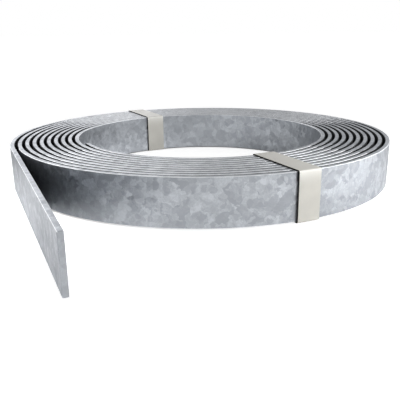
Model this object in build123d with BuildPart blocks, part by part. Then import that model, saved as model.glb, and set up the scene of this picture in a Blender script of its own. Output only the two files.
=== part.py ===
# Steel coil: flat galvanised strip wound in open turns, its outer end loose, tied by two straps
import os

from build123d import *

# Strip section, slit from sheet, with the edges of its outer face rolled over
strip_width = 40
strip_thickness = 4
edge_rollover = 0.5

# Winding, with the coil lying flat on its straps
eye_radius = 118
turn_count = 10
turn_gap = 2.7
seam_angle = 203.4
inner_end_cut_back = 2
tail_length = 239

# Straps, one in front of the eye and one behind it, their angles taken from the seam
strap_width = 20
strap_thickness = 1
strap_clearance = 1
front_strap_angle = 92.15
back_strap_angle = 273.4

# Each half turn is a half circle about one of two centres on the seam line, so the turns step out evenly
half_turn = 180
turn_pitch = strip_thickness + turn_gap
half_pitch = turn_pitch / 2
centre_shift = half_pitch / 2
front_centre = (-centre_shift, 0)
back_centre = (centre_shift, 0)
front_radius = eye_radius + centre_shift
back_radius = front_radius + half_pitch
wound_depth = turn_count * turn_pitch - turn_gap
tail_inner_face = eye_radius + turn_count * turn_pitch
tail_outer_face = tail_inner_face + strip_thickness

# The straps run flat across the curved walls and bend within their clearance from them,
# and the strip lies on their lower runs
half_strap = strap_width / 2
strap_inner_bend = strap_clearance
strap_outer_bend = strap_inner_bend + strap_thickness
strap_height = strip_width + strap_thickness * 2
strap_mid_height = strap_height / 2

# Both planes are turned so that the seam lies along their x direction
floor_plane = Plane.XY.rotated((0, 0, seam_angle))
strip_plane = floor_plane.offset(strap_thickness)

# Wound strip: both faces of every turn, the straight loose tail and two square-cut ends
with BuildPart() as wound_strip:
    with BuildSketch(strip_plane):
        with BuildLine():
            first_arc = half_turn - inner_end_cut_back
            first_inner = CenterArc(front_centre, front_radius, inner_end_cut_back, first_arc)
            first_outer = CenterArc(
                front_centre, front_radius + strip_thickness, inner_end_cut_back, first_arc
            )
            Line(first_inner @ 0, first_outer @ 0)
            for face in (0, strip_thickness):
                for turn in range(turn_count):
                    CenterArc(back_centre, back_radius + face + turn * turn_pitch, half_turn, half_turn)
                for turn in range(1, turn_count):
                    CenterArc(front_centre, front_radius + face + turn * turn_pitch, 0, half_turn)
            Polyline(
                (tail_inner_face, 0),
                (tail_inner_face, tail_length),
                (tail_outer_face, tail_length),
                (tail_outer_face, 0),
            )
        make_face()
    extrude(amount=strip_width)
    walls = faces().filter_by(Axis.Z, reverse=True)
    long_walls = walls.filter_by(lambda wall: wall.area > strip_width**2)
    outer_walls = long_walls.filter_by(lambda wall: wall.normal_at().dot(wall.center()) > 0)
    chamfer(outer_walls.edges().filter_by(Axis.Z, reverse=True), length=edge_rollover)
wound_strip.part.label = "wound_strip"

os.makedirs("parts", exist_ok=True)
export_step(wound_strip.part, "parts/wound_strip.step")

# Straps: each one closed band round all the turns, drawn on the upright plane through its half's centre
for name, centre, inner_wall, angle in (
    ("strap_front", front_centre, front_radius, front_strap_angle),
    ("strap_back", back_centre, back_radius, back_strap_angle),
):
    radial = Axis.X.direction.rotate(Axis.Z, seam_angle + angle)
    strap_plane = Plane(floor_plane.from_local_coords(centre), radial, radial.cross(Axis.Z.direction))
    nearest = (inner_wall**2 - half_strap**2) ** 0.5 - strap_clearance
    farthest = inner_wall + wound_depth + strap_clearance
    inner_depth = farthest - nearest
    with BuildPart() as strap:
        with BuildSketch(strap_plane):
            with Locations(((nearest + farthest) / 2, strap_mid_height)):
                RectangleRounded(inner_depth + strap_thickness * 2, strap_height, strap_outer_bend)
                RectangleRounded(inner_depth, strip_width, strap_inner_bend, mode=Mode.SUBTRACT)
        extrude(amount=half_strap, both=True)
    strap.part.label = name
    export_step(strap.part, f"parts/{name}.step")
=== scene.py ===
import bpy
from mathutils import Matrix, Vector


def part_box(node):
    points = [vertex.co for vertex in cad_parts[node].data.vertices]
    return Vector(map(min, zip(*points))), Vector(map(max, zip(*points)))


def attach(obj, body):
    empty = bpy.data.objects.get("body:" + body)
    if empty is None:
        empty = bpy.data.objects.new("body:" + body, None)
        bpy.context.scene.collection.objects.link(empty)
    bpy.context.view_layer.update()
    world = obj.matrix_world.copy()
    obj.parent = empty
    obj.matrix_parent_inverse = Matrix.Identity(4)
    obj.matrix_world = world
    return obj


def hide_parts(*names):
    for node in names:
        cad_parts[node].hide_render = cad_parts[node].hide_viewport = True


bl_info = {
    "name": "Steel Coil",
    "version": (1, 0, 0),
    "blender": (4, 5, 0),
    "location": "View3D > Sidebar > Steel Coil",
    "description": "Winds a coil of flat galvanised strip, ties it and sets a plain studio round it",
    "category": "Add Mesh",
}

import math

import bmesh
import bpy
from bpy.props import FloatProperty, FloatVectorProperty, IntProperty, PointerProperty
from bpy.types import Operator, Panel, PropertyGroup
from mathutils import Matrix, Vector

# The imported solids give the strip's width, its height above the floor and the straps' thickness
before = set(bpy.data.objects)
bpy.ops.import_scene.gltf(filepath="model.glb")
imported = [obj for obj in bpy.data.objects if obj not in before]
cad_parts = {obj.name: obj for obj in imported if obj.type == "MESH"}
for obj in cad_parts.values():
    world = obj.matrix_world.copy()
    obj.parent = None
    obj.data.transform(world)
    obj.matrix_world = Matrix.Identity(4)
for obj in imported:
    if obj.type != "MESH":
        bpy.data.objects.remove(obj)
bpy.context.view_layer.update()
STRIP_LOW, STRIP_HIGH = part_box("wound_strip")
STRAP_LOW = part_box("strap_front")[0]

UPRIGHT = Matrix.Rotation(math.pi / 2, 4, "X")
RIGHT, BACK, UP = (1.0, 0.0, 0.0), (0.0, 1.0, 0.0), (0.0, 0.0, 1.0)

# The strip's own UV map and attribute, and the shared node groups
STRIP_UV = "strip_uv"
EDGE_RUB_AND_HIGHLIGHT = "edge_rub_and_highlight"
SPANGLE = "zinc_spangle"
SCUFFS = "handling_scuffs"

# Material slots of the strip and of the straps
# The strip's third slot is zinc darkened as painted shade inside the gaps
ZINC, SHEARED, GAP_SHADE = range(3)
# The straps' second slot is near black, as painted shade on their inner side and slit edges
PAINT, STRAP_SHADE = range(2)

# Faces that take the painted gap shade: inside a gap they lean less than a wall's limit, or at the
# coil's sides less than an edge's limit
WALL_LEAN, EDGE_LEAN = 0.1, 0.98
# How the painted gap shade spreads onto the edges at the coil's sides, with less of it behind
SHADE_SPREAD_START, SHADE_SPREAD_SPAN, SHADE_SPREAD_LOSS_BEHIND = 0.4, 0.35, 0.8

# How far below the strip's upper edge the paint's painted highlight band starts
HIGHLIGHT_BAND = 0.012

# Camera fitted to the photograph's frame, with its turns as pitch, yaw and roll in degrees
FRAME_PIXELS, FOCAL_PIXELS = 400.0, 563.5
CAMERA_PLACE = (0.0, -0.57824, 0.144471)
CAMERA_TURNS = (17.0, -0.255, -0.706)

# Floor just under the straps, and the soft borders of its rings about the middle of the eye, where its
# glow's painted light and shadow change
FLOOR_RADIUS, FLOOR_DROP = 12.0, 0.0002
EYE_SHIFT = (-0.0017, 0.0017, 0.0)
EYE_RING = (0.116, 0.12)
INNER_TURN_RING = (0.1225, 0.1245)
OUTER_TURN_RING = (0.176, 0.184)


class CoilSizes(PropertyGroup):
    """Sizes of the wound strip and of the straps that tie it"""

    strip_width: FloatProperty(
        name="Strip width",
        description="Width of the flat strip, which is the height of the coil's turns",
        default=STRIP_HIGH.z - STRIP_LOW.z,
        unit="LENGTH",
    )
    strip_thickness: FloatProperty(
        name="Strip thickness",
        description="Thickness of the flat strip",
        default=0.004,
        unit="LENGTH",
    )
    outer_edge_round: FloatProperty(
        name="Outer edge rounding",
        description="Rounding of the long edges of the strip's outer face, as slitting rolls them over",
        default=0.0005,
        unit="LENGTH",
    )
    inner_edge_round: FloatProperty(
        name="Inner edge rounding",
        description="Rounding of the long edges of the strip's inner face",
        default=0.0003,
        unit="LENGTH",
    )
    cut_edge_round: FloatProperty(
        name="Cut edge rounding",
        description="Rounding of the edges round the tail's cut end",
        default=0.0004,
        unit="LENGTH",
    )
    rest_height: FloatProperty(
        name="Rest height",
        description="Height of the strip's lower edge above the floor",
        default=STRIP_LOW.z,
        unit="LENGTH",
    )
    eye_radius: FloatProperty(
        name="Eye radius",
        description="Radius of the first turn's inner face where the winding starts",
        default=0.118,
        unit="LENGTH",
    )
    turns: IntProperty(
        name="Turns",
        description="Whole turns of the strip",
        default=10,
    )
    turn_gap: FloatProperty(
        name="Turn gap",
        description="Open gap between one turn and the next",
        default=0.0027,
        unit="LENGTH",
    )
    seam_angle: FloatProperty(
        name="Seam angle",
        description="Direction of the line on which the tail leaves the coil",
        default=math.radians(203.4),
        subtype="ANGLE",
    )
    inner_end_cut: FloatProperty(
        name="Inner end cut",
        description="How far past the seam line the strip's inner end is cut",
        default=math.radians(2.0),
        subtype="ANGLE",
    )
    tail_length: FloatProperty(
        name="Tail length",
        description="Length of the straight loose end",
        default=0.239,
        unit="LENGTH",
    )
    half_turn_steps: IntProperty(
        name="Steps in a half turn",
        description="Facets along each half turn",
        default=64,
    )
    strap_width: FloatProperty(
        name="Strap width",
        description="Width of each strap",
        default=0.02,
        unit="LENGTH",
    )
    strap_thickness: FloatProperty(
        name="Strap thickness",
        description="Thickness of each strap",
        default=STRIP_LOW.z - STRAP_LOW.z,
        unit="LENGTH",
    )
    strap_clearance: FloatProperty(
        name="Strap clearance",
        description="Room between a strap's upright runs and the coil's walls",
        default=0.001,
        unit="LENGTH",
    )
    strap_bend: FloatProperty(
        name="Strap bend",
        description="Outer radius of the straps' bends",
        default=0.002,
        unit="LENGTH",
    )
    strap_edge_round: FloatProperty(
        name="Strap edge rounding",
        description="Rounding along the straps' slit edges",
        default=0.00012,
        unit="LENGTH",
    )
    front_strap_angle: FloatProperty(
        name="Front strap angle",
        description="Angle of the front strap from the seam line",
        default=math.radians(92.15),
        subtype="ANGLE",
    )
    back_strap_angle: FloatProperty(
        name="Back strap angle",
        description="Angle of the back strap from the seam line",
        default=math.radians(273.4),
        subtype="ANGLE",
    )

    @property
    def pitch(self):
        return self.strip_thickness + self.turn_gap

    @property
    def centre_shift(self):
        return self.pitch / 4

    @property
    def front_radius(self):
        return self.eye_radius + self.centre_shift

    @property
    def back_radius(self):
        return self.front_radius + self.pitch / 2

    @property
    def wound_depth(self):
        return self.turns * self.pitch - self.turn_gap


class CoilFinish(PropertyGroup):
    """Colours of the zinc, the straps and the studio"""

    zinc_dark: FloatVectorProperty(
        name="Zinc, dark crystals",
        description="Colour of the darker crystals of the zinc",
        default=(0.303, 0.319, 0.343),
        subtype="COLOR",
        min=0.0,
        max=1.0,
    )
    zinc_light: FloatVectorProperty(
        name="Zinc, light crystals",
        description="Colour of the lighter crystals of the zinc",
        default=(0.442, 0.463, 0.492),
        subtype="COLOR",
        min=0.0,
        max=1.0,
    )
    # Rubbed edges: partly wear, partly a painted highlight on the strip's roundings
    zinc_rub_and_highlight: FloatVectorProperty(
        name="Zinc, rubbed edges",
        description="Colour of the zinc where the strip's rounded edges are rubbed bright",
        default=(0.86, 0.87, 0.89),
        subtype="COLOR",
        min=0.0,
        max=1.0,
    )
    # Painted shade: the zinc inside the gaps is darkened to this share of its brightness
    gap_shade_share: FloatProperty(
        name="Gap brightness",
        description="Share of the zinc's brightness that oil and dust leave inside the gaps",
        default=0.09,
        subtype="FACTOR",
        min=0.0,
        max=1.0,
    )
    crystal_size: FloatProperty(
        name="Crystal size",
        description="Typical width of a zinc crystal",
        default=0.005,
        unit="LENGTH",
    )
    strap_paint: FloatVectorProperty(
        name="Strap paint",
        description="Colour of the straps' paint",
        default=(0.64, 0.625, 0.575),
        subtype="COLOR",
        min=0.0,
        max=1.0,
    )
    # Painted highlight: the paint is lighter below the straps' upper bends
    strap_painted_highlight: FloatVectorProperty(
        name="Strap paint, rubbed bends",
        description="Colour of the straps' paint where it is rubbed light below their upper bends",
        default=(0.9, 0.89, 0.84),
        subtype="COLOR",
        min=0.0,
        max=1.0,
    )
    floor_colour: FloatVectorProperty(
        name="Floor",
        description="Colour of the studio floor",
        default=(0.7, 0.7, 0.7),
        subtype="COLOR",
        min=0.0,
        max=1.0,
    )


def only(kind, geometry):
    """The elements of one bmesh type in an operator's result"""
    return [element for element in geometry if isinstance(element, kind)]


def upright_plate(bm, width, height, middle):
    """A flat upright face of a width and a height about its middle"""
    place = Matrix.Translation(middle) @ UPRIGHT @ Matrix.Diagonal((width, height, 1.0, 1.0))
    bmesh.ops.create_grid(bm, x_segments=1, y_segments=1, size=0.5, matrix=place)


def round_off(bm, geometry, rounding, segments, affect):
    """Round corners or edges off"""
    bmesh.ops.bevel(
        bm,
        geom=geometry,
        offset=rounding,
        offset_type="OFFSET",
        segments=segments,
        profile=0.5,
        affect=affect,
        material=-1,
    )


def new_piece(name, bm, materials):
    """Turn a finished bmesh into an object at the origin with its materials"""
    mesh = bpy.data.meshes.new(name)
    bm.to_mesh(mesh)
    bm.free()
    for material in materials:
        mesh.materials.append(material)
    piece = bpy.data.objects.new(name, mesh)
    bpy.context.scene.collection.objects.link(piece)
    return piece


def keep_faces_flat(piece):
    """Shade the broad faces flat, so that only the roundings between them turn the light"""
    flat = piece.modifiers.new("flat_faces", "WEIGHTED_NORMAL")
    flat.keep_sharp = True


def dimmed(colour, share):
    """A colour at a share of its brightness"""
    return tuple(share * channel for channel in colour)


def new_group(name, inputs, outputs):
    """A shader node group with its sockets, and its input and output nodes"""
    group = bpy.data.node_groups.new(name, "ShaderNodeTree")
    for socket, kind, default in inputs:
        made = group.interface.new_socket(socket, in_out="INPUT", socket_type=kind)
        if default is not None:
            made.default_value = default
    for socket, kind in outputs:
        group.interface.new_socket(socket, in_out="OUTPUT", socket_type=kind)
    return group, group.nodes.new("NodeGroupInput"), group.nodes.new("NodeGroupOutput")


def new_material(name):
    """A material with its node tree and its Principled shader"""
    material = bpy.data.materials.new(name)
    material.use_nodes = True
    return material, material.node_tree, material.node_tree.nodes["Principled BSDF"]


def math_node(tree, operation, first, second=None, third=None):
    """A Math node with each input linked or set, giving its output"""
    node = tree.nodes.new("ShaderNodeMath")
    node.operation = operation
    for socket, value in zip(node.inputs, (first, second, third)):
        if isinstance(value, (int, float)):
            socket.default_value = value
        elif value is not None:
            tree.links.new(value, socket)
    return node.outputs[0]


def product(tree, first, *others):
    """Values multiplied with one another"""
    for other in others:
        first = math_node(tree, "MULTIPLY", first, other)
    return first


def inverse(tree, mask):
    """What a mask leaves free"""
    return math_node(tree, "SUBTRACT", 1.0, mask)


def vector_node(tree, operation, first, second=None, scale=None):
    """A Vector Math node with each input linked or set, giving its vector"""
    node = tree.nodes.new("ShaderNodeVectorMath")
    node.operation = operation
    for socket, value in zip(node.inputs, (first, second)):
        if isinstance(value, (tuple, Vector)):
            socket.default_value = value
        elif value is not None:
            tree.links.new(value, socket)
    if isinstance(scale, (int, float)):
        node.inputs["Scale"].default_value = scale
    elif scale is not None:
        tree.links.new(scale, node.inputs["Scale"])
    return node.outputs[0]


def reach_node(tree, vector, direction=None):
    """How far a vector reaches in a direction, or its length where none is given"""
    node = tree.nodes.new("ShaderNodeVectorMath")
    node.operation = "DOT_PRODUCT" if direction else "LENGTH"
    if direction:
        node.inputs[1].default_value = direction
    tree.links.new(vector, node.inputs[0])
    return node.outputs["Value"]


def noise_node(tree, vector, scale, detail, roughness=0.5):
    """A Noise Texture on a vector"""
    node = tree.nodes.new("ShaderNodeTexNoise")
    node.inputs["Scale"].default_value = scale
    node.inputs["Detail"].default_value = detail
    node.inputs["Roughness"].default_value = roughness
    tree.links.new(vector, node.inputs["Vector"])
    return node


def range_node(tree, value, low, high, to_low, to_high, smooth=False):
    """A Map Range node, giving its result"""
    node = tree.nodes.new("ShaderNodeMapRange")
    node.interpolation_type = "SMOOTHSTEP" if smooth else "LINEAR"
    for socket, number in zip(node.inputs[1:5], (low, high, to_low, to_high)):
        socket.default_value = number
    tree.links.new(value, node.inputs["Value"])
    return node.outputs["Result"]


def step_node(tree, value, edge, softness, height):
    """A soft step from zero up to a height"""
    return range_node(tree, value, edge - softness, edge + softness, 0.0, height, smooth=True)


def colour_mix(tree, factor, first, second, blend="MIX"):
    """A Mix node on two colours, giving its colour"""
    node = tree.nodes.new("ShaderNodeMix")
    node.data_type = "RGBA"
    node.blend_type = blend
    sockets = (node.inputs["Factor"], node.inputs[6], node.inputs[7])
    for socket, value in zip(sockets, (factor, first, second)):
        if isinstance(value, (int, float)):
            socket.default_value = value
        elif isinstance(value, bpy.types.NodeSocket):
            tree.links.new(value, socket)
        else:
            socket.default_value = (*value, 1.0)
    return node.outputs[2]


def bump_node(tree, height, strength, distance):
    """A Bump node on a height, giving its normal"""
    node = tree.nodes.new("ShaderNodeBump")
    node.inputs["Strength"].default_value = strength
    node.inputs["Distance"].default_value = distance
    tree.links.new(height, node.inputs["Height"])
    return node.outputs["Normal"]


def crystal_cells(tree, vector, scale, shift):
    """A layer of cells and each cell's own value, shifted so that no two layers share their borders"""
    node = tree.nodes.new("ShaderNodeTexVoronoi")
    node.inputs["Scale"].default_value = scale
    tree.links.new(vector_node(tree, "ADD", vector, shift), node.inputs["Vector"])
    parted = tree.nodes.new("ShaderNodeSeparateColor")
    tree.links.new(node.outputs["Color"], parted.inputs["Color"])
    return node, parted.outputs[0]


def spangle_group():
    """Zinc crystals: light patches in a darker bed, dark round spots, and lace in the light patches"""
    if SPANGLE in bpy.data.node_groups:
        return bpy.data.node_groups[SPANGLE]
    group, given, made = new_group(
        SPANGLE,
        (("Vector", "NodeSocketVector", None), ("Crystals per metre", "NodeSocketFloat", 200.0)),
        (
            ("Tone", "NodeSocketFloat"),
            ("Grain", "NodeSocketFloat"),
            ("Height", "NodeSocketFloat"),
            ("Tilt", "NodeSocketVector"),
        ),
    )
    half = (0.5, 0.5, 0.5)
    per_metre = given.outputs["Crystals per metre"]
    cells = vector_node(group, "SCALE", given.outputs["Vector"], scale=per_metre)

    # Borders that sway, with a finer feathering on top
    bent = cells
    for noise, amount in (
        (noise_node(group, cells, 0.9, 2.0), 1.1),
        (noise_node(group, cells, 3.0, 3.0, 0.6), 0.45),
    ):
        sway = vector_node(group, "SUBTRACT", noise.outputs["Color"], half)
        bent = vector_node(group, "ADD", bent, vector_node(group, "SCALE", sway, scale=amount))

    # Large and small crystals, each of a few even tones, and round dark spots among them
    _, large_tone = crystal_cells(group, bent, 0.62, (0.0, 0.0, 0.0))
    small, small_tone = crystal_cells(group, bent, 1.15, (3.7, 9.1, 0.0))
    spots, spot_pick = crystal_cells(group, bent, 0.72, (21.3, 4.9, 0.0))
    tone = 0.0
    for value, edge, softness, height in (
        (large_tone, 0.42, 0.1, 0.34),
        (large_tone, 0.78, 0.06, 0.22),
        (small_tone, 0.5, 0.2, 0.2),
        (small_tone, 0.85, 0.06, 0.22),
    ):
        tone = math_node(group, "ADD", tone, step_node(group, value, edge, softness, height))
    spot = range_node(group, spots.outputs["Distance"], 0.36, 0.42, 0.75, 0.0, smooth=True)
    spot = product(group, spot, step_node(group, spot_pick, 0.55, 0.04, 1.0))
    tone = product(group, tone, inverse(group, spot))

    # Lace drawn out across the strip, strongest where the crystals are light
    drawn = vector_node(group, "MULTIPLY", bent, (1.0, 0.55, 1.0))
    lace = noise_node(group, drawn, 4.5, 3.0, 0.65).outputs["Fac"]
    lace = range_node(group, lace, 0.42, 0.66, -0.14, 0.42, smooth=True)
    tone = math_node(group, "MULTIPLY_ADD", lace, math_node(group, "ADD", tone, 0.12), tone)
    grain = noise_node(group, cells, 22.0, 3.0, 0.6).outputs["Fac"]
    height = math_node(group, "MULTIPLY_ADD", grain, 0.5, product(group, tone, 0.5))
    tilt = vector_node(group, "SUBTRACT", small.outputs["Color"], half)
    for name, value in (("Tone", tone), ("Grain", grain), ("Height", height), ("Tilt", tilt)):
        group.links.new(value, made.inputs[name])
    return group


def scuff_group():
    """Handling marks: fine scratches that run along the piece, in patches"""
    if SCUFFS in bpy.data.node_groups:
        return bpy.data.node_groups[SCUFFS]
    group, given, made = new_group(
        SCUFFS,
        (("Vector", "NodeSocketVector", None), ("Amount", "NodeSocketFloat", 0.5)),
        (("Mask", "NodeSocketFloat"),),
    )
    drawn = vector_node(group, "MULTIPLY", given.outputs["Vector"], (60.0, 1400.0, 1400.0))
    lines = noise_node(group, drawn, 1.0, 2.0).outputs["Fac"]
    lines = range_node(group, lines, 0.62, 0.72, 0.0, 1.0, smooth=True)
    where = noise_node(group, given.outputs["Vector"], 35.0, 2.0).outputs["Fac"]
    where = range_node(group, where, 0.5, 0.68, 0.0, 1.0, smooth=True)
    mask = product(group, lines, where, given.outputs["Amount"])
    group.links.new(mask, made.inputs["Mask"])
    return group


def place_group(tree, group, vector, **values):
    """A group node in a material, fed with a vector and its own values"""
    node = tree.nodes.new("ShaderNodeGroup")
    node.node_tree = group
    tree.links.new(vector, node.inputs["Vector"])
    for name, value in values.items():
        node.inputs[name.replace("_", " ").capitalize()].default_value = value
    return node


def surface_vector(tree, uv_map=None):
    """Coordinates on the surface: the piece's own UV map, or Object coordinates"""
    if uv_map:
        node = tree.nodes.new("ShaderNodeUVMap")
        node.uv_map = uv_map
        return node.outputs["UV"]
    return tree.nodes.new("ShaderNodeTexCoord").outputs["Object"]


def zinc_material(finish):
    """Hot-dip zinc on the strip's faces and edges"""
    material, tree, shader = new_material("hot_dip_zinc")
    shader.inputs["Metallic"].default_value = 1.0
    shader.inputs["Specular Tint"].default_value = (0.68, 0.68, 0.69, 1.0)
    vector = surface_vector(tree, STRIP_UV)
    crystals = place_group(tree, spangle_group(), vector, crystals_per_metre=1.0 / finish.crystal_size)
    marks = place_group(tree, scuff_group(), vector, amount=0.5)

    # Crystals under a slow random drift of tone, with scratches, and edges rubbed bright as wear and as
    # a painted highlight
    colour = colour_mix(tree, crystals.outputs["Tone"], finish.zinc_dark, finish.zinc_light)
    drift = noise_node(tree, vector, 9.0, 2.0).outputs["Fac"]
    drift = range_node(tree, drift, 0.3, 0.7, 0.94, 1.06)
    shade = tree.nodes.new("ShaderNodeCombineColor")
    for socket in shade.inputs:
        tree.links.new(drift, socket)
    colour = colour_mix(tree, 1.0, colour, shade.outputs[0], "MULTIPLY")
    colour = colour_mix(tree, marks.outputs["Mask"], colour, finish.zinc_light)
    edge = tree.nodes.new("ShaderNodeAttribute")
    edge.attribute_name = EDGE_RUB_AND_HIGHLIGHT
    rub_highlight = noise_node(tree, vector, 90.0, 2.0).outputs["Fac"]
    rub_highlight = product(tree, range_node(tree, rub_highlight, 0.35, 0.6, 0.6, 1.0), edge.outputs["Fac"])
    colour = colour_mix(tree, rub_highlight, colour, finish.zinc_rub_and_highlight)
    tree.links.new(colour, shader.inputs["Base Color"])

    # Lighter crystals are smoother, and each crystal leans its own way
    rough = range_node(tree, crystals.outputs["Tone"], 0.0, 1.0, 0.38, 0.3)
    rough = math_node(tree, "MULTIPLY_ADD", crystals.outputs["Grain"], 0.1, rough)
    tree.links.new(rough, shader.inputs["Roughness"])
    level = bump_node(tree, crystals.outputs["Height"], 0.12, 0.0004)
    tilted = vector_node(tree, "SCALE", crystals.outputs["Tilt"], scale=0.19)
    tilted = vector_node(tree, "NORMALIZE", vector_node(tree, "ADD", level, tilted))
    tree.links.new(tilted, shader.inputs["Normal"])
    return material


def gap_shade_material(finish):
    """Zinc in the gaps between the turns, darkened as painted shade"""
    material, tree, shader = new_material("zinc_gap_painted_shade")
    shader.inputs["Metallic"].default_value = 0.3
    shader.inputs["Specular IOR Level"].default_value = 0.15
    shader.inputs["Specular Tint"].default_value = (0.3, 0.31, 0.33, 1.0)
    vector = surface_vector(tree, STRIP_UV)
    crystals = place_group(tree, spangle_group(), vector, crystals_per_metre=1.0 / finish.crystal_size)
    dark = dimmed(finish.zinc_dark, finish.gap_shade_share)
    light = dimmed(finish.zinc_light, finish.gap_shade_share)
    colour = colour_mix(tree, crystals.outputs["Tone"], dark, light)
    tree.links.new(colour, shader.inputs["Base Color"])
    rough = range_node(tree, crystals.outputs["Grain"], 0.3, 0.7, 0.6, 0.75)
    tree.links.new(rough, shader.inputs["Roughness"])
    return material


def sheared_end_material(finish):
    """The strip's square-cut ends: sheared steel under a thin coat of zinc"""
    material, tree, shader = new_material("sheared_end")
    shader.inputs["Metallic"].default_value = 0.8
    vector = surface_vector(tree, STRIP_UV)
    crystals = place_group(tree, spangle_group(), vector, crystals_per_metre=1.4 / finish.crystal_size)
    pulled = vector_node(tree, "MULTIPLY", vector, (2500.0, 160.0, 1.0))
    torn = noise_node(tree, pulled, 1.0, 3.0, 0.6).outputs["Fac"]
    tone = product(tree, crystals.outputs["Tone"], 0.5)
    tone = math_node(tree, "MULTIPLY_ADD", torn, 0.5, tone)
    colour = colour_mix(tree, tone, finish.zinc_dark, finish.zinc_light)
    tree.links.new(colour, shader.inputs["Base Color"])
    tree.links.new(range_node(tree, torn, 0.3, 0.7, 0.4, 0.55), shader.inputs["Roughness"])
    tree.links.new(bump_node(tree, torn, 0.25, 0.0003), shader.inputs["Normal"])
    return material


def strap_paint_material(finish, strip_top):
    """Ivory paint on the straps' broad faces, darker on top as painted shade and lighter below the upper
    bends as a painted highlight
    """
    material, tree, shader = new_material("strap_paint")
    shader.inputs["Specular IOR Level"].default_value = 0.5
    vector = surface_vector(tree)
    marks = place_group(tree, scuff_group(), vector, amount=0.35)
    cloud = noise_node(tree, vector, 70.0, 3.0).outputs["Fac"]
    clouded = range_node(tree, cloud, 0.35, 0.65, 0.0, 1.0)
    colour = colour_mix(tree, clouded, dimmed(finish.strap_paint, 0.93), finish.strap_paint)
    colour = colour_mix(tree, marks.outputs["Mask"], colour, dimmed(finish.strap_paint, 0.8))
    # Painted shade: the top run's paint is darker than on the upright runs
    facing = tree.nodes.new("ShaderNodeNewGeometry").outputs["Normal"]
    painted_top_shade = range_node(tree, reach_node(tree, facing, UP), 0.6, 0.95, 0.0, 1.0, smooth=True)
    colour = colour_mix(tree, painted_top_shade, colour, dimmed(finish.strap_paint, 0.82))
    # Painted highlight: lighter paint fading down from the upper bends
    band = range_node(tree, reach_node(tree, vector, UP), strip_top - HIGHLIGHT_BAND, strip_top, 0.0, 1.0)
    band = product(tree, math_node(tree, "POWER", band, 2.0), inverse(tree, painted_top_shade))
    colour = colour_mix(tree, band, colour, finish.strap_painted_highlight)
    tree.links.new(colour, shader.inputs["Base Color"])
    tree.links.new(range_node(tree, cloud, 0.3, 0.7, 0.36, 0.48), shader.inputs["Roughness"])
    peel = noise_node(tree, vector, 900.0, 2.0).outputs["Fac"]
    tree.links.new(bump_node(tree, peel, 0.05, 0.0003), shader.inputs["Normal"])
    return material


def strap_shade_material():
    """The straps' slit edges and inner side: near black, as painted shade"""
    material, tree, shader = new_material("strap_painted_shade")
    shader.inputs["Specular IOR Level"].default_value = 0.12
    cloud = noise_node(tree, surface_vector(tree), 260.0, 3.0).outputs["Fac"]
    colour = colour_mix(tree, cloud, (0.006, 0.006, 0.006), (0.02, 0.019, 0.018))
    tree.links.new(colour, shader.inputs["Base Color"])
    tree.links.new(range_node(tree, cloud, 0.3, 0.7, 0.6, 0.75), shader.inputs["Roughness"])
    return material


def strip_section(bm, sizes):
    """The strip's rounded section at its inner end, as one face"""
    centre = Vector((-sizes.centre_shift, 0.0, 0.0))
    middle = Vector((sizes.front_radius + sizes.strip_thickness / 2, 0.0, sizes.strip_width / 2))
    middle += centre
    upright_plate(bm, sizes.strip_thickness, sizes.strip_width, middle)
    outer = [vert for vert in bm.verts if vert.co.x > middle.x]
    inner = [vert for vert in bm.verts if vert not in outer]
    round_off(bm, outer, sizes.outer_edge_round, 3, "VERTICES")
    round_off(bm, inner, sizes.inner_edge_round, 3, "VERTICES")
    cut_back = Matrix.Rotation(sizes.inner_end_cut, 3, "Z")
    bmesh.ops.rotate(bm, verts=bm.verts[:], cent=centre, matrix=cut_back)
    return bm.faces[:][0]


def mark_section(bm, cap, sizes):
    """Number the section's corners, mark those on its roundings for the rub and painted highlight, and
    add up the way round it
    """
    lane_of, rub_highlight_of = bm.verts.layers.int["lane"], bm.verts.layers.float[EDGE_RUB_AND_HIGHLIGHT]
    section = list(cap.verts)
    girth = [0.0]
    for lane, vert in enumerate(section):
        vert[lane_of] = lane
        rounded = all(edge.calc_length() < sizes.outer_edge_round for edge in vert.link_edges)
        vert[rub_highlight_of] = float(rounded)
        girth.append(girth[-1] + (section[(lane + 1) % len(section)].co - vert.co).length)
    return girth


def wind_turns(bm, cap, sizes):
    """Spin the section through its half turns, a step at a time, so that each ring knows its distance"""
    run_of, half_of = bm.verts.layers.float["run"], bm.verts.layers.int["half"]
    ring = [*cap.edges, *cap.verts]
    run = 0.0
    for half in range(2 * sizes.turns):
        ahead = half % 2 == 0
        side = -1.0 if ahead else 1.0
        radius = (sizes.front_radius if ahead else sizes.back_radius) + half // 2 * sizes.pitch
        sweep = math.pi - (sizes.inner_end_cut if half == 0 else 0.0)
        for _ in range(sizes.half_turn_steps):
            made = bmesh.ops.spin(
                bm,
                geom=ring,
                cent=(side * sizes.centre_shift, 0.0, 0.0),
                axis=UP,
                angle=sweep / sizes.half_turn_steps,
                steps=1,
                use_merge=False,
                use_duplicate=False,
            )
            ring = made["geom_last"]
            run += sweep / sizes.half_turn_steps * (radius + sizes.strip_thickness / 2)
            for vert in only(bmesh.types.BMVert, ring):
                vert[run_of], vert[half_of] = run, half
    return ring, run


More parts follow.
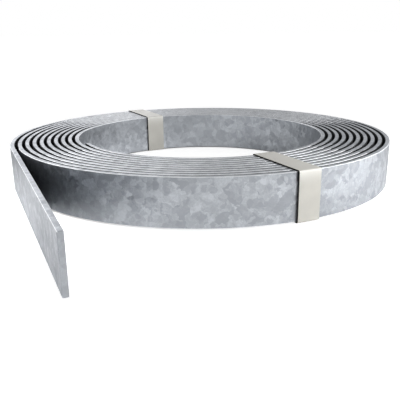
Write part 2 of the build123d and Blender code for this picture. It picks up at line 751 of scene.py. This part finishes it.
def run_out_tail(bm, ring, run, sizes):
    """Extrude the straight tail, drawn in at its cut end so that the sheared edges are rounded"""
    run_of, half_of = bm.verts.layers.float["run"], bm.verts.layers.int["half"]
    rim = only(bmesh.types.BMEdge, ring)
    tail_middle = sizes.eye_radius + sizes.turns * sizes.pitch + sizes.strip_thickness / 2
    about = Matrix.Translation((-tail_middle, 0.0, -sizes.strip_width / 2))
    gone, drawn_in = 0.0, 0.0
    for angle in (0.0, math.pi / 4, math.pi / 2):
        made = bmesh.ops.extrude_edge_only(bm, edges=rim)["geom"]
        end_verts = only(bmesh.types.BMVert, made)
        reach = sizes.tail_length - sizes.cut_edge_round * (1.0 - math.sin(angle))
        inset = 2.0 * sizes.cut_edge_round * (1.0 - math.cos(angle))
        thinner = (sizes.strip_thickness - inset) / (sizes.strip_thickness - drawn_in)
        lower = (sizes.strip_width - inset) / (sizes.strip_width - drawn_in)
        bmesh.ops.translate(bm, verts=end_verts, vec=(0.0, reach - gone, 0.0))
        bmesh.ops.scale(bm, verts=end_verts, vec=(thinner, 1.0, lower), space=about)
        gone, drawn_in = reach, inset
        end_set = set(end_verts)
        rim = [edge for edge in only(bmesh.types.BMEdge, made) if end_set.issuperset(edge.verts)]
        for vert in end_verts:
            vert[run_of], vert[half_of] = run + reach, 2 * sizes.turns
    return bmesh.ops.edgeloop_fill(bm, edges=rim)["faces"][0]


def in_gap_shade(face, sizes, half):
    """Whether a face takes the painted gap shade: inside a gap on its walls, and at the coil's two sides
    on its edges as well
    """
    centre = face.calc_center_median()
    spot = (Matrix.Rotation(sizes.seam_angle, 3, "Z") @ centre).xy.normalized()
    sideways = spot.x**2 - SHADE_SPREAD_LOSS_BEHIND * max(spot.y, 0.0)
    shade_spread = min(max((sideways - SHADE_SPREAD_START) / SHADE_SPREAD_SPAN, 0.0), 1.0)
    if abs(face.normal.z) > WALL_LEAN + (EDGE_LEAN - WALL_LEAN) * shade_spread:
        return False
    outward = face.normal.xy.dot(centre.xy) > 0.0
    return half < 2 * sizes.turns - 2 if outward else 2 <= half < 2 * sizes.turns


def dress_faces(bm, caps, girth, sizes):
    """Give each face its finish, and its distance along the strip and round its section as its UV"""
    lane_of, half_of = bm.verts.layers.int["lane"], bm.verts.layers.int["half"]
    run_of = bm.verts.layers.float["run"]
    uv = bm.loops.layers.uv.new(STRIP_UV)
    for face in bm.faces:
        face.smooth = face not in caps
        if face in caps:
            face.material_index = SHEARED
            for loop in face.loops:
                loop[uv].uv = (loop.vert.co.x, loop.vert.co.z)
            continue
        # Faces inside the gaps take the zinc darkened as painted shade
        gap_shaded = in_gap_shade(face, sizes, max(vert[half_of] for vert in face.verts))
        face.material_index = GAP_SHADE if gap_shaded else ZINC
        lanes = [vert[lane_of] for vert in face.verts]
        closes = max(lanes) - min(lanes) > 1
        for loop in face.loops:
            lane = loop.vert[lane_of]
            loop[uv].uv = (loop.vert[run_of], girth[-1] if closes and lane == 0 else girth[lane])


class STEEL_COIL_OT_wind_strip(Operator):
    """Wind the strip in half turns about two centres, then run out its straight tail"""

    bl_idname = "steel_coil.wind_strip"
    bl_label = "Wind Strip"

    def execute(self, context):
        sizes, finish = context.scene.coil_sizes, context.scene.coil_finish
        bm = bmesh.new()
        for name in ("lane", "half"):
            bm.verts.layers.int.new(name)
        for name in ("run", EDGE_RUB_AND_HIGHLIGHT):
            bm.verts.layers.float.new(name)
        inner_cap = strip_section(bm, sizes)
        girth = mark_section(bm, inner_cap, sizes)
        ring, run = wind_turns(bm, inner_cap, sizes)
        tail_cap = run_out_tail(bm, ring, run, sizes)
        bmesh.ops.recalc_face_normals(bm, faces=bm.faces[:])
        dress_faces(bm, (inner_cap, tail_cap), girth, sizes)
        for edge in inner_cap.edges:
            edge.smooth = False
        turned = Matrix.Rotation(sizes.seam_angle, 4, "Z")
        turned = Matrix.Translation((0.0, 0.0, sizes.rest_height)) @ turned
        bmesh.ops.transform(bm, matrix=turned, verts=bm.verts[:])
        materials = (zinc_material(finish), sheared_end_material(finish), gap_shade_material(finish))
        strip = new_piece("coiled_strip", bm, materials)
        keep_faces_flat(strip)
        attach(strip, "root")
        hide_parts("wound_strip")
        return {"FINISHED"}


def strap_band(sizes, wall):
    """A flat band bent round all the turns, painted outside, and near black inside and on its slit edges
    as painted shade
    """
    half = sizes.strap_width / 2
    stand_off = sizes.strap_clearance + sizes.strap_thickness
    near = math.sqrt(wall**2 - half**2) - stand_off
    far = wall + sizes.wound_depth + stand_off
    height = sizes.strip_width + 2 * sizes.strap_thickness
    middle = Vector(((near + far) / 2, 0.0, height / 2))

    # The outline across the turns, drawn out to the strap's width and given its thickness
    bm = bmesh.new()
    upright_plate(bm, far - near, height, middle + half * Vector(BACK))
    round_off(bm, bm.verts[:], sizes.strap_bend, 6, "VERTICES")
    outline = bm.edges[:]
    bmesh.ops.delete(bm, geom=bm.faces[:], context="FACES_ONLY")
    made = bmesh.ops.extrude_edge_only(bm, edges=outline)["geom"]
    drawn = only(bmesh.types.BMVert, made)
    bmesh.ops.translate(bm, verts=drawn, vec=(0.0, -sizes.strap_width, 0.0))
    bmesh.ops.recalc_face_normals(bm, faces=bm.faces[:])
    bmesh.ops.solidify(bm, geom=bm.faces[:], thickness=sizes.strap_thickness)
    bmesh.ops.recalc_face_normals(bm, faces=bm.faces[:])

    slit = {face for face in bm.faces if abs(face.normal.y) > 0.9}
    # Slit edges and inner side take the near-black painted shade
    for face in bm.faces:
        inward = face.normal.dot(face.calc_center_median() - middle) < 0.0
        face.material_index = STRAP_SHADE if face in slit or inward else PAINT
    slit_rims = [edge for edge in bm.edges if sum(face in slit for face in edge.link_faces) == 1]
    round_off(bm, slit_rims, sizes.strap_edge_round, 2, "EDGES")
    for face in bm.faces:
        face.smooth = True
    return bm


class STEEL_COIL_OT_tie_straps(Operator):
    """Bend a flat strap round all the turns, in front of the eye and behind it"""

    bl_idname = "steel_coil.tie_straps"
    bl_label = "Tie Straps"

    def execute(self, context):
        sizes, finish = context.scene.coil_sizes, context.scene.coil_finish
        strip_top = sizes.rest_height + sizes.strip_width
        materials = (strap_paint_material(finish, strip_top), strap_shade_material())
        for node, side, wall, angle in (
            ("strap_front", -1.0, sizes.front_radius, sizes.front_strap_angle),
            ("strap_back", 1.0, sizes.back_radius, sizes.back_strap_angle),
        ):
            bm = strap_band(sizes, wall)
            about = Matrix.Translation((side * sizes.centre_shift, 0.0, 0.0))
            turned = about @ Matrix.Rotation(angle, 4, "Z")
            turned = Matrix.Rotation(sizes.seam_angle, 4, "Z") @ turned
            bmesh.ops.transform(bm, matrix=turned, verts=bm.verts[:])
            strap = new_piece(node + "_band", bm, materials)
            keep_faces_flat(strap)
            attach(strap, "root")
            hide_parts(node)
        return {"FINISHED"}


def place_camera(scene):
    """Camera at the photograph's viewing angle, level to within a degree"""
    data = bpy.data.cameras.new("coil_camera")
    data.sensor_width = 36.0
    data.lens = FOCAL_PIXELS / FRAME_PIXELS * data.sensor_width
    data.clip_start = 0.01
    camera = bpy.data.objects.new("coil_camera", data)
    pitch, yaw, roll = (math.radians(angle) for angle in CAMERA_TURNS)
    flat_look = math.cos(pitch)
    look = Vector((math.sin(yaw) * flat_look, math.cos(yaw) * flat_look, -math.sin(pitch)))
    level = Vector((math.cos(yaw), -math.sin(yaw), 0.0))
    above = level.cross(look)
    across = math.cos(roll) * level + math.sin(roll) * above
    upward = math.cos(roll) * above - math.sin(roll) * level
    turned = Matrix((across, upward, -look)).transposed().to_4x4()
    camera.matrix_world = Matrix.Translation(CAMERA_PLACE) @ turned
    scene.collection.objects.link(camera)
    scene.camera = camera


def seen_rays(tree):
    """Masks of the rays that show a background: the camera's, and those in gloss or through glass"""
    path = tree.nodes.new("ShaderNodeLightPath").outputs
    in_gloss = math_node(tree, "MAXIMUM", path["Is Glossy Ray"], path["Is Transmission Ray"])
    return path["Is Camera Ray"], in_gloss


def floor_material(finish, seam_angle):
    """Pale floor that keeps the coil's shadow, and shows white where nothing shades it; its glow carries
    painted shadow under the turns and in the wedge, and painted light in what the zinc mirrors
    """
    material, tree, shader = new_material("studio_floor")
    shader.inputs["Base Color"].default_value = (*finish.floor_colour, 1.0)
    shader.inputs["Roughness"].default_value = 0.9
    shader.inputs["Specular IOR Level"].default_value = 0.0
    vector = surface_vector(tree)
    radius = reach_node(tree, vector_node(tree, "SUBTRACT", vector, EYE_SHIFT))
    rightward, backward = reach_node(tree, vector, RIGHT), reach_node(tree, vector, BACK)
    to_camera, in_gloss = seen_rays(tree)
    to_camera = product(tree, to_camera, range_node(tree, radius, 0.5, 1.5, 0.66, 0.78))
    # Painted contact shadow: no glow on the floor under the turns
    painted_shadow_under_turns = product(
        tree,
        range_node(tree, radius, *INNER_TURN_RING, 0.0, 1.0, smooth=True),
        range_node(tree, radius, *OUTER_TURN_RING, 1.0, 0.0, smooth=True),
    )

    # What the zinc mirrors, as painted light in the floor's glow: the eye, brighter on its left, and the
    # floor round the coil, darker behind
    in_eye = range_node(tree, radius, *EYE_RING, 1.0, 0.0, smooth=True)
    eye_painted_light = product(
        tree,
        in_eye,
        range_node(tree, radius, 0.04, 0.118, 0.8, 0.55),
        range_node(tree, rightward, -0.08, 0.06, 2.0, 0.25),
    )
    round_painted_light = product(
        tree,
        inverse(tree, in_eye),
        range_node(tree, radius, 0.187, 0.34, 0.8, 0.92),
        range_node(tree, backward, -0.1, 0.06, 1.0, 0.2),
        range_node(tree, backward, -0.3, -0.18, 0.84, 1.0),
    )

    # Painted shadow in the glow over the wedge between the tail and the last turn, which hardly any
    # light reaches
    across, along = (
        reach_node(tree, vector, (math.cos(angle), math.sin(angle), 0.0))
        for angle in (seam_angle, seam_angle + math.pi / 2)
    )
    wedge = product(
        tree,
        range_node(tree, across, 0.1, 0.18, 0.0, 1.0, smooth=True),
        range_node(tree, across, 0.186, 0.19, 1.0, 0.0),
        range_node(tree, along, 0.09, 0.18, 1.0, 0.0, smooth=True),
    )
    painted_light = product(tree, math_node(tree, "ADD", eye_painted_light, round_painted_light), inverse(tree, wedge))
    seen = math_node(tree, "ADD", to_camera, product(tree, in_gloss, painted_light))
    glow = tree.nodes.new("ShaderNodeEmission")
    tree.links.new(product(tree, seen, inverse(tree, painted_shadow_under_turns)), glow.inputs["Strength"])
    both = tree.nodes.new("ShaderNodeAddShader")
    tree.links.new(shader.outputs["BSDF"], both.inputs[0])
    tree.links.new(glow.outputs["Emission"], both.inputs[1])
    tree.links.new(both.outputs["Shader"], tree.nodes["Material Output"].inputs["Surface"])
    return material


def hang_surround(scene):
    """White surround for what is seen, at a plainer level for what it lights and overhead in gloss"""
    world = bpy.data.worlds.new("studio_surround")
    scene.world = world
    world.use_nodes = True
    tree = world.node_tree
    surround = tree.nodes["Background"]
    surround.inputs["Color"].default_value = (1.0, 1.0, 1.0, 1.0)
    to_camera, in_gloss = seen_rays(tree)
    toward = tree.nodes.new("ShaderNodeTexCoord").outputs["Generated"]
    ceiling = range_node(tree, reach_node(tree, toward, UP), 0.55, 0.95, 1.0, 0.45, smooth=True)
    seen = math_node(tree, "MAXIMUM", to_camera, product(tree, in_gloss, ceiling))
    strength = range_node(tree, seen, 0.0, 1.0, 0.46, 1.0)
    tree.links.new(strength, surround.inputs["Strength"])


def area_light(
    name,
    azimuth,
    distance,
    height,
    size,
    radiance,
    aim=(0.0, 0.0, 0.02),
    spread=180.0,
    in_gloss=True,
    in_diffuse=True,
):
    """A soft panel of light, by how bright it looks from where it points"""
    data = bpy.data.lights.new(name, "AREA")
    data.shape = "RECTANGLE"
    data.size, data.size_y = size
    data.energy = radiance * math.pi * size[0] * size[1]
    data.spread = math.radians(spread)
    lamp = bpy.data.objects.new(name, data)
    angle = math.radians(azimuth)
    lamp.location = (distance * math.cos(angle), distance * math.sin(angle), height)
    lamp.rotation_euler = (Vector(aim) - lamp.location).to_track_quat("-Z", "Y").to_euler()
    lamp.visible_glossy = in_gloss
    lamp.visible_diffuse = in_diffuse
    bpy.context.scene.collection.objects.link(lamp)


class STEEL_COIL_OT_set_stage(Operator):
    """Set the camera, a pale floor, a white surround and soft panels of light"""

    bl_idname = "steel_coil.set_stage"
    bl_label = "Set Stage"

    def execute(self, context):
        scene = context.scene
        scene.view_settings.view_transform = "Standard"
        place_camera(scene)
        hang_surround(scene)

        bm = bmesh.new()
        bmesh.ops.create_circle(bm, cap_ends=True, segments=64, radius=FLOOR_RADIUS)
        bmesh.ops.translate(bm, verts=bm.verts[:], vec=(0.0, 0.0, -FLOOR_DROP))
        material = floor_material(scene.coil_finish, scene.coil_sizes.seam_angle)
        floor = new_piece("studio_floor", bm, (material,))

        # Panels that the metal mirrors
        area_light("right_panel", -3.0, 1.33, 0.62, (1.1, 1.2), 1.0, in_diffuse=False)
        area_light("right_high_panel", -12.0, 1.2, 0.85, (0.5, 0.5), 4.0, in_diffuse=False)
        area_light("right_back_panel", 30.0, 1.4, 0.62, (0.8, 0.7), 3.6, in_diffuse=False)
        area_light("back_left_panel", 112.0, 1.4, 0.42, (0.9, 0.8), 1.5, in_diffuse=False)
        area_light("left_high_panel", 150.0, 1.2, 0.75, (0.9, 0.6), 3.0, in_diffuse=False)
        area_light("top_left_panel", 200.0, 0.3, 1.2, (0.4, 0.4), 1.5, in_diffuse=False)

        # Light on the paint, and pools on the floor beside the coil
        area_light("front_fill", 300.0, 1.75, 0.45, (1.0, 0.6), 7.0, in_gloss=False)
        right_spot, left_spot = (0.33, -0.12, 0.0), (-0.21, -0.11, 0.0)
        area_light("right_pool", -17.0, 0.39, 0.5, (0.25, 0.25), 3.7, right_spot, 50.0, in_gloss=False)
        area_light("left_pool", 200.0, 0.26, 0.5, (0.2, 0.2), 1.6, left_spot, 40.0, in_gloss=False)
        return {"FINISHED"}


class STEEL_COIL_PT_sidebar(Panel):
    """Sizes, finishes and steps of the steel coil"""

    bl_label = "Steel Coil"
    bl_idname = "STEEL_COIL_PT_sidebar"
    bl_space_type = "VIEW_3D"
    bl_region_type = "UI"
    bl_category = "Steel Coil"

    def draw(self, context):
        for settings in (context.scene.coil_sizes, context.scene.coil_finish):
            box = self.layout.box()
            for name in settings.__annotations__:
                box.prop(settings, name)
        for operator in OPERATORS:
            self.layout.operator(operator.bl_idname)


OPERATORS = (STEEL_COIL_OT_wind_strip, STEEL_COIL_OT_tie_straps, STEEL_COIL_OT_set_stage)
CLASSES = (CoilSizes, CoilFinish, *OPERATORS, STEEL_COIL_PT_sidebar)


def register():
    for cls in CLASSES:
        bpy.utils.register_class(cls)
    bpy.types.Scene.coil_sizes = PointerProperty(type=CoilSizes)
    bpy.types.Scene.coil_finish = PointerProperty(type=CoilFinish)


def unregister():
    del bpy.types.Scene.coil_finish
    del bpy.types.Scene.coil_sizes
    for cls in reversed(CLASSES):
        bpy.utils.unregister_class(cls)


def main():
    register()
    bpy.ops.steel_coil.wind_strip()
    bpy.ops.steel_coil.tie_straps()
    bpy.ops.steel_coil.set_stage()


if __name__ == "__main__":
    main()
